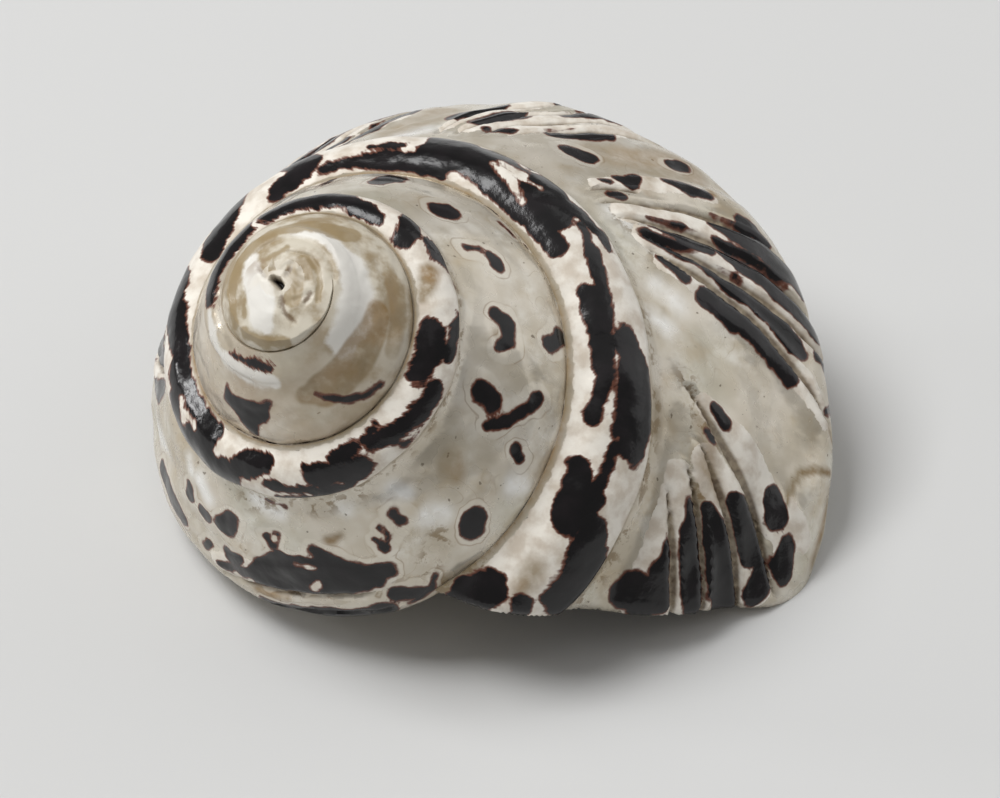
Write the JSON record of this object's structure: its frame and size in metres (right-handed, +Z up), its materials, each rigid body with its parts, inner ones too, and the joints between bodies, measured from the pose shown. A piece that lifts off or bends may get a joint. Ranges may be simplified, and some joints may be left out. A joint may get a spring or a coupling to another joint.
{
  "type": "turban shell",
  "caption": "Turban shell lying mouth down, with a leaning spire, a raised blotched collar along the seam, polished pearl sides and fans of carved ridges; a specimen or ornament",
  "frame": {"origin": "centre of the footprint on the table, under the shell", "axes": "+Z up with the shell resting mouth down, +X to the lip side along the longest extent, the spire leaning towards -X and -Y"},
  "size_m": [0.0482, 0.0423, 0.0321],
  "materials": {
    "shell": "polished pearl with matt blotches"
  },
  "bodies": {
    "root": {"shell": "shell"}
  },
  "joints": []
}
